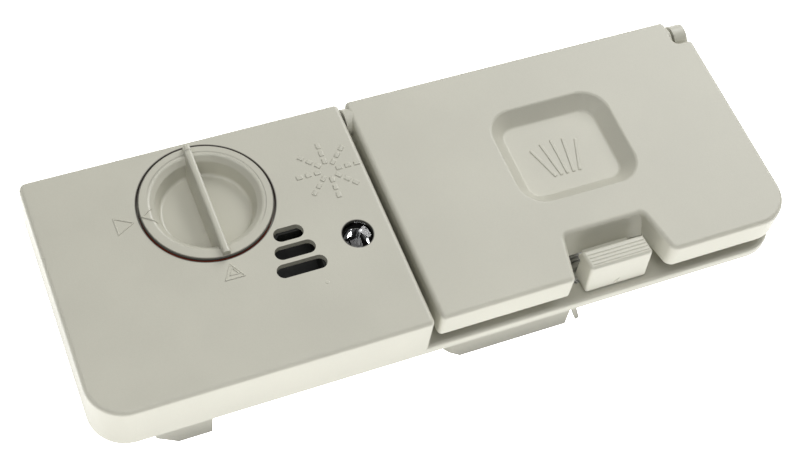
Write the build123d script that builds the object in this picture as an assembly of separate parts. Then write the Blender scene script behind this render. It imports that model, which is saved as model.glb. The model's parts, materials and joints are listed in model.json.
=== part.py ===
"""Door-mounted detergent and rinse-aid dispenser of a dishwasher, in millimetres.

It lies on its back with the front face up: X runs along the front, Y from the latch side to the
hinge side, Z up out of the front. The origin is the middle of the surface it lies on.
"""

import os

from build123d import *

# Front face and levels
FRONT_LENGTH = 230.0
FRONT_WIDTH = 85.0
BODY_DEPTH = 26.8
PANEL_HEIGHT = 19.2
PANEL_LENGTH = FRONT_LENGTH * 0.4526
PANEL_CORNER = 12.0
BACK_CORNER = 2.5
EDGE_ROUND = 1.4
WALL = 2.2

# Flange that lies on the door, and the gasket under it
FLANGE_THICK = 3.6
FLANGE_PLATE = 2.0
FLANGE_LIP = 2.5
FLANGE_STEP = 0.5
GASKET_WIDTH = 3.4

# Detergent lid
LID_GAP = 2.3
LID_FRONT_STEP = 0.6
LID_DEPTH = 9.8
LID_WALL = 1.5
LID_CORNER = 12.0
LID_SMALL_CORNER = 1.6
WELL_LENGTH = 42.0
WELL_WIDTH = FRONT_WIDTH * 0.433
WELL_CORNER = 9.0
WELL_DEPTH = 4.3
WELL_SLOPE = 4.6
WELL_FROM_RIGHT = FRONT_LENGTH * 0.2674
WELL_FROM_BACK = FRONT_WIDTH * 0.44
WELL_SHOULDER = 1.2
WELL_FLOOR_ROUND = 1.3

# Latch and the notch that it stands in
NOTCH_FROM_RIGHT = FRONT_LENGTH * 0.2687
LATCH_FROM_RIGHT = NOTCH_FROM_RIGHT - 1.0
LATCH_WIDTH = 21.8
LATCH_TOP_DROP = 2.4
LATCH_FRONT = 2.4
LATCH_DEPTH = 8.3
LATCH_LIFT = 0.9
NOSE_REACH = 0.9
NOSE_HEIGHT = 2.0
NOTCH_FRONT_LENGTH = 34.4
NOTCH_BACK_LENGTH = 27.8
NOTCH_DEPTH = 16.5
NOTCH_SLOPE = 2.7
NOTCH_CORNER = 3.0
KEEPER_LENGTH = 16.0
KEEPER_THICK = 0.8
KEEPER_GAP = 0.5
LATCH_PIVOT_BACK = 9.5
LATCH_PIVOT_DROP = 25.0
LATCH_PIN_R = 1.5
TAIL_THICK = 2.2
TAIL_WIDTH = 2.6
TAIL_BACK = 4.5
NOSE_LIFT = 2.0
NOSE_EASE = 0.4
HEAD_LEAN = 1.0
HEAD_ROUND = 1.1
HEAD_SIDE = 1.0
GROOVE_COUNT = 4
GROOVE_START = 2.2
GROOVE_PITCH = 1.3
GROOVE_R = 0.45
STEM_WIDTH = 12.4
STEM_FRONT = 1.7
STEM_BACK = 1.0
BARREL_R = 3.0
CHEEK_SPREAD = 14.0
CHEEK_THICK = 2.2
CHEEK_R = 3.0
HATCH_LENGTH = 25.0
HATCH_FROM_FRONT = 6.5
LATCH_COIL_R = 2.3
LATCH_WIRE = 0.7
LATCH_TURNS = 5.5
LATCH_COIL = 6.2
LATCH_LEG_HOOK = 4.0

# Lid hinge
HINGE_FROM_BACK = 5.0
HINGE_R = 4.5
ROD_R = 1.5
EAR_LENGTH = 4.7
EAR_GAP = 1.0
LUG_REACH = 1.8
LUG_LENGTH = 14.0
EAR_SKIN = 1.0
ROD_SEAT = 4.0
LID_COIL_R = 2.25
LID_WIRE = 0.7
LID_TURNS = 5.5
LID_COIL_LENGTH = 8.0

# Detergent cup
RIM_DROP = 5.0
CUP_WALL = 2.0
CUP_CORNER = 5.0
CUP_FROM_LID = 7.1
CUP_FROM_RIGHT = 9.5
CUP_FROM_BACK = 12.5
DEEP_FROM_FRONT = 8.0
DEEP_LENGTH = FRONT_LENGTH * 0.15
DEEP_SLOPE = 8.6
SHALLOW_FROM_FRONT = 20.0
SHALLOW_DEPTH = 15.0
DIVIDER_DROP = 9.0
RAIL_LENGTH = FRONT_LENGTH * 0.0543
RAIL_HEIGHT = 16.0
FIN_DEPTH = 8.0
TONGUE = 1.3
TONGUE_REACH = 5.0
RIB_THICK = 1.6
RIB_COUNT = 3
RIB_PITCH = 15.0
RIB_FROM_RIGHT = 15.0
RIB_FROM_EDGE = 8.0
RIB_DEPTH = 6.0

# Rinse-aid tank
TANK_FROM_LEFT = 10.0
TANK_FROM_FRONT = 16.0
TANK_FROM_BACK = 7.0
TANK_FROM_LID = 5.1
TANK_CORNER = 6.0
TANK_WALL = 2.0
COVER_HEIGHT = 14.0
WELD_RIM = 2.0
SUMP_FROM_LEFT = 19.5
SUMP_LENGTH = 18.0
SUMP_FROM_FRONT = 8.0
SUMP_SLOPE = 7.2

# Filler neck, cap, seal and dose dial
CAP_X = PANEL_LENGTH * 0.5034
CAP_FROM_BACK = 23.6
CAP_HOLE_R = 21.4
CAP_R = 20.8
CAP_PROUD = 0.9
CAP_RIM = 1.1
CAP_EDGE = 0.5
CAP_FLAT_R = 17.3
CAP_BOWL_R = 15.6
CAP_SHOULDER = 1.7
CAP_FLOOR_R = 14.2
CAP_ROUND = 1.2
CAP_BOWL_DEPTH = 6.6
CAP_PLUG_R = 17.9
CAP_PLUG_DEPTH = 10.4
CAP_WALL = 1.7
GRIP_PROUD = 3.0
GRIP_TOP = 2.0
GRIP_BASE = 4.4
SEAL_THICK = 2.0
LEDGE_THICK = 2.2
LEDGE_R = 18.4
LUG_THICK = 2.4
LUG_OUT_R = 20.2
LUG_WIDE = 8.0
NECK_DEPTH = 15.6
NECK_R = 20.8
DIAL_R = 11.0
DIAL_THICK = 1.8
DIAL_STEM_R = 2.5
BRIDGE_WIDE = 11.0

# Outlet slots and sight lens
SLOT_X = PANEL_LENGTH * 0.6984
SLOT_FROM_FRONT = 30.8
SLOT_PITCH = 6.2
SLOT_LENGTHS = (16.0, 13.0, 9.6)
SLOT_WIDTH = 4.8
SLOT_BOX_DEPTH = 12.0
OUTLET_SKIN = 0.8
LENS_X = PANEL_LENGTH * 0.8924
LENS_FROM_FRONT = 36.6
LENS_R = 4.8
LENS_LENGTH = 19.0
LENS_STEP = 0.9
LENS_SEAT = 7.0
LENS_DOME = 1.0

# Solenoid under the shallow half of the cup
COIL_LENGTH = 27.0
COIL_R = 7.0
PLUNGER_R = 3.5
PLUNGER_Z = 8.0
YOKE_THICK = 1.5
YOKE_WIDTH = 20.0
YOKE_FROM_FRONT = 28.5
BOSS_LENGTH = 5.0
BOSS_R = 3.2
SCREW_R = 1.25
SCREW_LENGTH = 6.0
SCREW_SPREAD = 12.5
HEAD_R = 2.6
HEAD_THICK = 1.8
SPOOL_WALL = 1.0
COLLAR_FROM_YOKE = 8.0
COLLAR_R = 5.2
PLUNGER_END = 7.0
TONGUE_HALF = 3.5
PLUNGER_WIRE = 0.7
PLUNGER_TURNS = 4
TAB_THICK = 0.8
TAB_WIDTH = 4.8
TAB_REACH = 15.0

# Bends of the wound springs, as a share of the wire
BEND_SWELL = 0.62

# Clearances
PIN_PLAY = 0.05
GUIDE_PLAY = 0.1
SOFT_GAP = 0.3
SLOT_PLAY = 0.6

# Places that follow from the sizes above
LEFT = -FRONT_LENGTH / 2
RIGHT = FRONT_LENGTH / 2
FRONT = -FRONT_WIDTH / 2
BACK = FRONT_WIDTH / 2
SEAT_Z = BODY_DEPTH
TOP_Z = BODY_DEPTH + PANEL_HEIGHT
PLATE_TOP = SEAT_Z + FLANGE_THICK
PLATE_LOW = PLATE_TOP - FLANGE_PLATE
PANEL_END = LEFT + PANEL_LENGTH
LID_LEFT = PANEL_END + LID_GAP
LID_FRONT = FRONT + LID_FRONT_STEP
LID_LOW = TOP_Z - LID_DEPTH
LID_UNDER = TOP_Z - LID_WALL
HINGE_Y = BACK - HINGE_FROM_BACK
HINGE_Z = TOP_Z - HINGE_R
EAR_RIGHT = RIGHT - FLANGE_STEP
EAR_LEFT = EAR_RIGHT - EAR_LENGTH
RIM_Z = TOP_Z - RIM_DROP
CUP_LEFT = LID_LEFT + CUP_FROM_LID
CUP_RIGHT = RIGHT - CUP_FROM_RIGHT
CUP_BACK = BACK - CUP_FROM_BACK
DEEP_RIGHT = CUP_LEFT + DEEP_LENGTH
SHALLOW_TOP = RIM_Z - SHALLOW_DEPTH
SHALLOW_LOW = SHALLOW_TOP - CUP_WALL
TANK_LEFT = LEFT + TANK_FROM_LEFT
TANK_RIGHT = PANEL_END - TANK_FROM_LID
TANK_FRONT = FRONT + TANK_FROM_FRONT
TANK_BACK = BACK - TANK_FROM_BACK
CAP_AT = (LEFT + CAP_X, BACK - CAP_FROM_BACK)
CAP_TOP = TOP_Z + CAP_PROUD
CAP_UNDER = CAP_TOP - CAP_RIM
LEDGE_TOP = CAP_UNDER - SEAL_THICK - SOFT_GAP
LEDGE_LOW = LEDGE_TOP - LEDGE_THICK
NECK_LOW = TOP_Z - NECK_DEPTH
BRIDGE_TOP = NECK_LOW + TANK_WALL
LENS_AT = (LEFT + LENS_X, FRONT + LENS_FROM_FRONT)
NOTCH_X = RIGHT - NOTCH_FROM_RIGHT
LATCH_X = RIGHT - LATCH_FROM_RIGHT
PIVOT_Y = FRONT + LATCH_PIVOT_BACK
PIVOT_Z = TOP_Z - LATCH_PIVOT_DROP
KEEPER_FRONT = FRONT + LATCH_FRONT + LATCH_DEPTH + NOSE_REACH + KEEPER_GAP
KEEPER_TOP = LID_LOW + KEEPER_THICK
TAIL_Y = PIVOT_Y + TAIL_BACK
WELL_AT = (RIGHT - WELL_FROM_RIGHT, BACK - WELL_FROM_BACK)
YOKE_FRONT = FRONT + YOKE_FROM_FRONT
YOKE_TOP = SHALLOW_LOW - BOSS_LENGTH
YOKE_BACK = YOKE_FRONT + COIL_LENGTH + 2 * YOKE_THICK
COLLAR_Y = YOKE_FRONT - COLLAR_FROM_YOKE
ROD_LEFT = PANEL_END - WALL - ROD_SEAT / 2
ROD_RIGHT = EAR_RIGHT - EAR_SKIN


def block(x0, x1, y0, y1, z0, z1):
    """A box between two corners."""
    return Pos(x0, y0, z0) * Box(x1 - x0, y1 - y0, z1 - z0, align=(Align.MIN,) * 3)


def rod_x(x0, x1, y, z, radius):
    """A round bar along X."""
    bar = Cylinder(radius, x1 - x0, align=(Align.CENTER, Align.CENTER, Align.MIN))
    return Pos(x0, y, z) * Rot(0, 90, 0) * bar


def rod_y(y0, y1, x, z, radius):
    """A round bar along Y."""
    bar = Cylinder(radius, y1 - y0, align=(Align.CENTER, Align.CENTER, Align.MIN))
    return Pos(x, y0, z) * Rot(-90, 0, 0) * bar


def rod_z(z0, z1, at, radius):
    """A round bar along Z."""
    bar = Cylinder(radius, z1 - z0, align=(Align.CENTER, Align.CENTER, Align.MIN))
    return Pos(at[0], at[1], z0) * bar


def tube_z(z0, z1, at, inner, outer):
    """A round tube along Z."""
    return rod_z(z0, z1, at, outer) - rod_z(z0, z1, at, inner)


def outline(points, radii):
    """A closed face with a rounding at each corner."""
    return make_face(FilletPolyline(*points, radius=radii, close=True))


def rectangle(x0, x1, y0, y1, radii):
    """A rectangle with corner radii from front left, counter-clockwise."""
    return outline([(x0, y0), (x1, y0), (x1, y1), (x0, y1)], radii)


def prism(face, z0, z1):
    """A plan outline carried from one level to another."""
    return extrude(Pos(0, 0, z0) * face, amount=z1 - z0)


def side_prism(points, x0, x1):
    """A side view in Y and Z carried along X."""
    face = make_face(Polyline(*[(y, z) for y, z in points], close=True))
    return Pos(x0, 0, 0) * extrude(Plane.YZ * face, amount=x1 - x0)


def front_prism(points, y0, y1):
    """A front view in X and Z carried along Y."""
    face = make_face(Polyline(*[(x, z) for x, z in points], close=True))
    return Pos(0, y0, 0) * extrude(Plane.XZ * face, amount=-(y1 - y0))


def coil(radius, wire, turns, length):
    """A wound wire along Z from the origin."""
    path = Helix(pitch=length / turns, height=length, radius=radius)
    section = Plane(origin=path @ 0, z_dir=path % 0) * Circle(wire / 2)
    return sweep(section, path=path, is_frenet=True)


def bead(at, wire):
    """The small swelling where a spring's coil is bent into its leg."""
    return Pos(*at) * Sphere(wire * BEND_SWELL)


def eased(radius, inset):
    """A corner radius once its outline is moved inwards."""
    return max(radius - inset, EDGE_ROUND / 2)


def panel_outline(inset=0.0):
    """Plan of the rinse-aid panel."""
    radii = [eased(r, inset) for r in (PANEL_CORNER, LID_SMALL_CORNER, LID_SMALL_CORNER, BACK_CORNER)]
    return rectangle(LEFT + inset, PANEL_END - inset, FRONT + inset, BACK - inset, radii)


def flange_outline(inset=0.0):
    """Plan of the whole flange."""
    radii = [eased(r, inset) for r in (PANEL_CORNER, LID_CORNER, BACK_CORNER, BACK_CORNER)]
    return rectangle(LEFT + inset, EAR_RIGHT - inset, FRONT + inset, BACK - inset, radii)


def deep_outline(inset=0.0):
    """Plan of the deep half of the cup."""
    edges = (CUP_LEFT + inset, DEEP_RIGHT - inset, FRONT + DEEP_FROM_FRONT + inset, CUP_BACK - inset)
    return rectangle(*edges, [eased(CUP_CORNER, inset)] * 4)


def shallow_outline(inset=0.0):
    """Plan of the shallow half of the cup, which starts at the dividing wall."""
    edges = (DEEP_RIGHT - CUP_WALL + inset, CUP_RIGHT - inset)
    depth = (FRONT + SHALLOW_FROM_FRONT + inset, CUP_BACK - inset)
    left = EDGE_ROUND / 2
    return rectangle(*edges, *depth, [left, eased(CUP_CORNER, inset), eased(CUP_CORNER, inset), left])


def tank_outline(inset=0.0):
    """Plan of the tank below the flange."""
    edges = (TANK_LEFT + inset, TANK_RIGHT - inset, TANK_FRONT + inset, TANK_BACK - inset)
    return rectangle(*edges, [eased(TANK_CORNER, inset)] * 4)


def round_top(solid, level, radius):
    """Round the outer edges that lie at one level."""
    edges = solid.edges().filter_by(lambda e: abs(e.bounding_box().min.Z - level) < 0.01
                                    and abs(e.bounding_box().max.Z - level) < 0.01)
    return fillet(edges, radius)


def panel_shell():
    """The hollow panel, open below."""
    shell = round_top(prism(panel_outline(), PLATE_LOW, TOP_Z), TOP_Z, EDGE_ROUND)
    return shell - prism(panel_outline(WALL), PLATE_LOW, TOP_Z - WALL)


def flange():
    """The flange plate with its turned-down lip."""
    plate = round_top(prism(flange_outline(), SEAT_Z, PLATE_TOP), PLATE_TOP, EDGE_ROUND)
    return plate - prism(flange_outline(FLANGE_LIP), SEAT_Z, PLATE_LOW)


def end_slope(left, length, slope, y0, y1):
    """The corner cut off the lower left end of a box."""
    return front_prism([(left - length, -length), (left + slope, -length), (left + slope, 0),
                        (left, slope), (left - length, slope)], y0, y1)


def cup_solid():
    """Outside of both halves of the cup."""
    deep = prism(deep_outline(), 0, RIM_Z)
    deep -= end_slope(CUP_LEFT, DEEP_SLOPE, DEEP_SLOPE, FRONT, BACK)
    return deep + prism(shallow_outline(), SHALLOW_LOW, RIM_Z)


def cup_room():
    """Inside of both halves of the cup, joined above the dividing wall."""
    left = CUP_LEFT + CUP_WALL
    deep = prism(deep_outline(CUP_WALL), CUP_WALL, RIM_Z)
    deep -= Pos(0, 0, CUP_WALL) * end_slope(left, DEEP_SLOPE, DEEP_SLOPE, FRONT, BACK)
    room = deep + prism(shallow_outline(CUP_WALL), SHALLOW_TOP, RIM_Z)
    depth = (FRONT + SHALLOW_FROM_FRONT + CUP_CORNER, CUP_BACK - CUP_CORNER)
    across = (DEEP_RIGHT - 2 * CUP_WALL, DEEP_RIGHT + CUP_WALL)
    return room + block(*across, *depth, RIM_Z - DIVIDER_DROP, RIM_Z)


def latch_rail():
    """Low wall beside the deep cup, with a fin and a slanting snap tongue at its end."""
    y0 = FRONT + DEEP_FROM_FRONT
    end = DEEP_RIGHT + RAIL_LENGTH
    rail = block(DEEP_RIGHT - CUP_CORNER, end, y0, y0 + CUP_WALL, 0, RAIL_HEIGHT)
    fin = block(end - CUP_WALL, end, y0, y0 + FIN_DEPTH, 0, RAIL_HEIGHT)
    tongue = front_prism([(end - TONGUE, RAIL_HEIGHT - TONGUE), (end, RAIL_HEIGHT),
                          (end + TONGUE_REACH, TONGUE), (end + TONGUE_REACH - TONGUE, TONGUE / 2)],
                         y0, y0 + CUP_WALL)
    return rail + fin + tongue


def latch_cheeks():
    """Two lugs below the flange that carry the latch pin."""
    lugs = None
    for side in (-1, 1):
        inner = LATCH_X + side * CHEEK_SPREAD
        low, high = sorted((inner, inner + side * CHEEK_THICK))
        lug = block(low, high, PIVOT_Y - CHEEK_R, PIVOT_Y + CHEEK_R, PIVOT_Z, PLATE_LOW)
        lug += rod_x(low, high, PIVOT_Y, PIVOT_Z, CHEEK_R)
        lug -= rod_x(low, high, PIVOT_Y, PIVOT_Z, LATCH_PIN_R + PIN_PLAY / 2)
        lugs = lug if lugs is None else lugs + lug
    return lugs


def hinge_ear():
    """The upright on the flange that holds the right end of the hinge rod."""
    ear = rod_x(EAR_LEFT, EAR_RIGHT, HINGE_Y, HINGE_Z, HINGE_R)
    return ear + block(EAR_LEFT, EAR_RIGHT, HINGE_Y - HINGE_R, HINGE_Y + HINGE_R, PLATE_LOW, HINGE_Z)


def filler_neck():
    """Seat, ledge and throat under the cap, with the bridge that carries the dose dial."""
    neck = tube_z(LEDGE_LOW, TOP_Z - EDGE_ROUND, CAP_AT, CAP_HOLE_R, CAP_HOLE_R + TANK_WALL)
    ledge = tube_z(LEDGE_LOW, LEDGE_TOP, CAP_AT, LEDGE_R, CAP_HOLE_R + TANK_WALL)
    entry = LUG_WIDE + 2 * SLOT_PLAY
    ledge -= block(CAP_AT[0] - entry / 2, CAP_AT[0] + entry / 2, CAP_AT[1] - LUG_OUT_R - SLOT_PLAY,
                   CAP_AT[1] + LUG_OUT_R + SLOT_PLAY, LEDGE_LOW, LEDGE_TOP)
    throat = tube_z(NECK_LOW, LEDGE_LOW, CAP_AT, NECK_R, CAP_HOLE_R + TANK_WALL)
    bridge = block(CAP_AT[0] - NECK_R - TANK_WALL / 2, CAP_AT[0] + NECK_R + TANK_WALL / 2,
                   CAP_AT[1] - BRIDGE_WIDE / 2, CAP_AT[1] + BRIDGE_WIDE / 2, NECK_LOW, BRIDGE_TOP)
    bridge -= rod_z(NECK_LOW, BRIDGE_TOP, CAP_AT, DIAL_STEM_R + PIN_PLAY)
    return neck + ledge + throat + bridge


def slot_centres():
    """Centre and length of each outlet slot, front one first."""
    for row, length in enumerate(SLOT_LENGTHS):
        yield LEFT + SLOT_X, FRONT + SLOT_FROM_FRONT + row * SLOT_PITCH, length


def slot_box(inset, ceiling):
    """The dosing chamber behind the outlet slots, up to a given level."""
    reach = max(SLOT_LENGTHS) / 2 + TANK_WALL
    x, y = LEFT + SLOT_X, FRONT + SLOT_FROM_FRONT
    last = y + (len(SLOT_LENGTHS) - 1) * SLOT_PITCH
    edge = SLOT_WIDTH / 2 + TANK_WALL
    return block(x - reach + inset, x + reach - inset, y - edge + inset, last + edge - inset,
                 TOP_Z - SLOT_BOX_DEPTH + inset, ceiling)


def outlet_room(inset, ceiling):
    """The room in that chamber, beside the filler neck."""
    return slot_box(TANK_WALL + inset, ceiling) - rod_z(0, TOP_Z, CAP_AT, CAP_HOLE_R + TANK_WALL + inset)


def rear_ribs():
    """Stiffening ribs under the flange: in front of the shallow cup, and across to the tank."""
    ribs = block(TANK_RIGHT - TANK_WALL / 2, CUP_LEFT + CUP_WALL / 2, CUP_BACK - CUP_CORNER - RIB_THICK,
                 CUP_BACK - CUP_CORNER, PLATE_LOW - RIB_DEPTH, PLATE_LOW)
    ribs += block(TANK_RIGHT - TANK_WALL / 2, CUP_LEFT + CUP_WALL / 2, TANK_FRONT + TANK_CORNER,
                  TANK_FRONT + TANK_CORNER + RIB_THICK, PLATE_LOW - RIB_DEPTH, PLATE_LOW)
    for row in range(RIB_COUNT):
        x = RIGHT - RIB_FROM_RIGHT - row * RIB_PITCH
        ribs += block(x - RIB_THICK, x, FRONT + RIB_FROM_EDGE, FRONT + SHALLOW_FROM_FRONT + CUP_WALL / 2,
                      SHALLOW_LOW, PLATE_LOW)
    return ribs


def slots():
    """The three outlet slots through the panel."""
    cuts = None
    for x, y, length in slot_centres():
        cut = Pos(x, y, TOP_Z - 2 * WALL) * extrude(SlotOverall(length, SLOT_WIDTH), amount=3 * WALL)
        cuts = cut if cuts is None else cuts + cut
    return cuts


def lens_boss():
    """Stepped sleeve that the sight lens drops into."""
    return rod_z(TOP_Z - LENS_SEAT - TANK_WALL, TOP_Z - WALL / 2, LENS_AT, LENS_R + TANK_WALL)


def lens_bore():
    """The stepped hole for the sight lens."""
    wide = rod_z(TOP_Z - LENS_SEAT, TOP_Z + WALL, LENS_AT, LENS_R + GUIDE_PLAY)
    narrow = rod_z(TOP_Z - LENS_SEAT - 2 * TANK_WALL, TOP_Z, LENS_AT, LENS_R - LENS_STEP + GUIDE_PLAY)
    return wide + narrow


def screw_places():
    """Where the two screws of the solenoid stand."""
    middle = (YOKE_FRONT + YOKE_BACK) / 2
    return [(LATCH_X + side * SCREW_SPREAD, middle) for side in (-1, 1)]


def housing():
    """The main moulding."""
    body = panel_shell() + flange() + hinge_ear() + latch_cheeks()
    body += prism(tank_outline(), COVER_HEIGHT, PLATE_TOP)
    body += prism(tank_outline(-WELD_RIM), COVER_HEIGHT, COVER_HEIGHT + WELD_RIM)
    body -= prism(tank_outline(TANK_WALL), COVER_HEIGHT, PLATE_TOP)
    body += filler_neck() + lens_boss()
    body += slot_box(0, TOP_Z - WALL / 2) - rod_z(0, TOP_Z, CAP_AT, CAP_HOLE_R)
    seat = PANEL_END - WALL - ROD_SEAT
    body += rod_x(seat, PANEL_END - WALL / 2, HINGE_Y, HINGE_Z, HINGE_R - EDGE_ROUND)
    body += cup_solid() + latch_rail() + rear_ribs()
    for place in screw_places():
        body += rod_z(YOKE_TOP, SHALLOW_TOP, place, BOSS_R)
    body -= cup_room()
    body -= outlet_room(0, TOP_Z - WALL)
    body -= slots() + lens_bore()
    body -= rod_z(LEDGE_TOP, TOP_Z + WALL, CAP_AT, CAP_HOLE_R)
    body -= rod_x(ROD_LEFT, ROD_RIGHT, HINGE_Y, HINGE_Z, ROD_R + PIN_PLAY / 2)
    body -= block(LATCH_X - HATCH_LENGTH / 2, LATCH_X + HATCH_LENGTH / 2,
                  FRONT + HATCH_FROM_FRONT, FRONT + SHALLOW_FROM_FRONT - CUP_WALL, PLATE_LOW, PLATE_TOP)
    for place in screw_places():
        end = YOKE_TOP + SCREW_LENGTH - YOKE_THICK + PIN_PLAY
        body -= rod_z(YOKE_TOP, end, place, SCREW_R + PIN_PLAY / 2)
    return body


def tank_cover():
    """Rear tray of the tank, with a sump that bulges forwards."""
    tray = prism(tank_outline(), 0, COVER_HEIGHT)
    tray += prism(tank_outline(-WELD_RIM), COVER_HEIGHT - WELD_RIM, COVER_HEIGHT)
    x0, x1 = LEFT + SUMP_FROM_LEFT, LEFT + SUMP_FROM_LEFT + SUMP_LENGTH
    y0, y1 = FRONT + SUMP_FROM_FRONT, TANK_FRONT + TANK_WALL
    sump = block(x0, x1, y0, y1, 0, COVER_HEIGHT) - end_slope(x0, SUMP_SLOPE, SUMP_SLOPE, y0, y1)
    tray += sump
    tray -= prism(tank_outline(TANK_WALL), TANK_WALL, COVER_HEIGHT)
    room = block(x0 + TANK_WALL, x1 - TANK_WALL, y0 + TANK_WALL, y1, TANK_WALL, COVER_HEIGHT - WELD_RIM)
    room -= Pos(0, 0, TANK_WALL) * end_slope(x0 + TANK_WALL, SUMP_SLOPE, SUMP_SLOPE, y0, y1)
    return tray - room


def outlet_seal():
    """Black rubber liner and valve seat in the outlet chamber."""
    outer = outlet_room(GUIDE_PLAY, TOP_Z - WALL - SOFT_GAP)
    return outer - outlet_room(GUIDE_PLAY + OUTLET_SKIN, TOP_Z)


def door_gasket():
    """Rubber ring in the channel under the flange."""
    outer = FLANGE_LIP + SOFT_GAP
    ring = prism(flange_outline(outer), SEAT_Z, PLATE_LOW)
    return ring - prism(flange_outline(outer + GASKET_WIDTH), SEAT_Z, PLATE_LOW)


def lid_outline(inset=0.0):
    """Plan of the lid with the latch notch in front and the ear notch at the back right."""
    y0, y1 = LID_FRONT + inset, BACK - inset
    notch_y = FRONT + NOTCH_DEPTH + inset
    wide, narrow = NOTCH_FRONT_LENGTH / 2 + inset, NOTCH_BACK_LENGTH / 2 + inset
    ear_x, ear_y = EAR_LEFT - EAR_GAP - inset, HINGE_Y - HINGE_R - SOFT_GAP - inset
    right = RIGHT - inset
    small = eased(LID_SMALL_CORNER, inset)
    points = [(LID_LEFT + inset, y0), (NOTCH_X - wide, y0), (NOTCH_X - narrow, notch_y),
              (NOTCH_X + narrow, notch_y), (NOTCH_X + wide, y0), (right, y0),
              (right, ear_y), (ear_x, ear_y), (ear_x, y1), (LID_LEFT + inset, y1)]
    radii = [small, small, LID_SMALL_CORNER, LID_SMALL_CORNER, eased(NOTCH_CORNER, inset),
             eased(LID_CORNER, inset), small, small, small, small]
    return outline(points, radii)


def well(grow, drop):
    """The dished prewash well, from the top face or from below it."""
    wide = RectangleRounded(WELL_LENGTH + 2 * grow, WELL_WIDTH + 2 * grow, WELL_CORNER + grow)
    less = 2 * (WELL_SLOPE - grow)
    narrow = RectangleRounded(WELL_LENGTH - less, WELL_WIDTH - less, WELL_CORNER - WELL_SLOPE + grow)
    at = Pos(WELL_AT[0], WELL_AT[1], 0)
    return loft([at * Pos(0, 0, TOP_Z - drop) * wide, at * Pos(0, 0, TOP_Z - drop - WELL_DEPTH) * narrow])


def round_well(solid):
    """Ease the well's shoulder and the edge of its floor."""
    reach = WELL_LENGTH / 2 + GUIDE_PLAY
    for level, radius in ((TOP_Z, WELL_SHOULDER), (TOP_Z - WELL_DEPTH, WELL_FLOOR_ROUND)):
        ring = [e for e in solid.edges()
                if abs(e.bounding_box().min.Z - level) < 0.01 and abs(e.bounding_box().max.Z - level) < 0.01
                and abs(e.center().X - WELL_AT[0]) < reach and abs(e.center().Y - WELL_AT[1]) < reach / 1.1]
        solid = fillet(ring, radius)
    return solid


def lid_barrels():
    """The two hinge lugs of the lid."""
    left = LID_LEFT - LUG_REACH
    right = EAR_LEFT - EAR_GAP
    lugs = rod_x(left, left + LUG_LENGTH, HINGE_Y, HINGE_Z, HINGE_R)
    return lugs + rod_x(right - LUG_LENGTH, right, HINGE_Y, HINGE_Z, HINGE_R)


def lid():
    """The detergent lid: plate, skirts on three sides, well, notch wall with keeper, hinge lugs."""
    shell = round_top(prism(lid_outline(), LID_LOW, TOP_Z), TOP_Z, EDGE_ROUND)
    shell -= prism(lid_outline(LID_WALL), LID_LOW, LID_UNDER)
    hinge_front = HINGE_Y - HINGE_R - SOFT_GAP
    shell -= block(LID_LEFT + LID_WALL, RIGHT, hinge_front, BACK + LID_WALL, LID_LOW, LID_UNDER)
    notch_y = FRONT + NOTCH_DEPTH
    narrow = NOTCH_BACK_LENGTH / 2
    shell += side_prism([(notch_y, TOP_Z - EDGE_ROUND), (notch_y - NOTCH_SLOPE, LID_LOW),
                         (notch_y - NOTCH_SLOPE + LID_WALL, LID_LOW), (notch_y + LID_WALL / 2, LID_UNDER)],
                        NOTCH_X - narrow - LID_WALL / 2, NOTCH_X + narrow + LID_WALL / 2)
    shell += block(LATCH_X - KEEPER_LENGTH / 2, LATCH_X + KEEPER_LENGTH / 2,
                   KEEPER_FRONT, notch_y - NOTCH_SLOPE + LID_WALL, LID_LOW, KEEPER_TOP)
    shell += lid_barrels() + well(LID_WALL, LID_WALL)
    shell = round_well(shell - well(0, 0))
    return shell - rod_x(ROD_LEFT, ROD_RIGHT, HINGE_Y, HINGE_Z, ROD_R + PIN_PLAY)


def lid_gasket():
    """Soft ring under the lid, just above the rim of the cup."""
    band = prism(deep_outline() + shallow_outline(), RIM_Z + SOFT_GAP, LID_UNDER)
    return band - prism(deep_outline(CUP_WALL) + shallow_outline(CUP_WALL)
                        + rim_bridge(), RIM_Z + SOFT_GAP, LID_UNDER)


def rim_bridge():
    """Plan of the gap above the dividing wall, where the rim is open."""
    depth = (FRONT + SHALLOW_FROM_FRONT + CUP_WALL, CUP_BACK - CUP_WALL)
    return rectangle(DEEP_RIGHT - 2 * CUP_CORNER, DEEP_RIGHT + CUP_WALL, *depth, [EDGE_ROUND / 2] * 4)


def hinge_rod():
    """Steel rod through panel, lid and ear."""
    return rod_x(ROD_LEFT + SOFT_GAP, ROD_RIGHT - SOFT_GAP, HINGE_Y, HINGE_Z, ROD_R)


def lid_spring():
    """Opening spring of the lid, with one leg under the lid and one on the rim's back wall."""
    x0 = LID_LEFT - LUG_REACH + LUG_LENGTH + LID_WIRE
    wound = coil(LID_COIL_R, LID_WIRE, LID_TURNS, LID_COIL_LENGTH)
    wound = Pos(x0, HINGE_Y, HINGE_Z) * Rot(0, 90, 0) * wound
    leg_end = CUP_BACK + SOFT_GAP
    under = rod_y(leg_end, HINGE_Y, x0, HINGE_Z - LID_COIL_R, LID_WIRE / 2)
    over = rod_y(leg_end, HINGE_Y, x0 + LID_COIL_LENGTH, HINGE_Z + LID_COIL_R, LID_WIRE / 2)
    start = bead((x0, HINGE_Y, HINGE_Z - LID_COIL_R), LID_WIRE)
    end = bead((x0 + LID_COIL_LENGTH, HINGE_Y, HINGE_Z + LID_COIL_R), LID_WIRE)
    return wound + start + end + over + under


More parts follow.
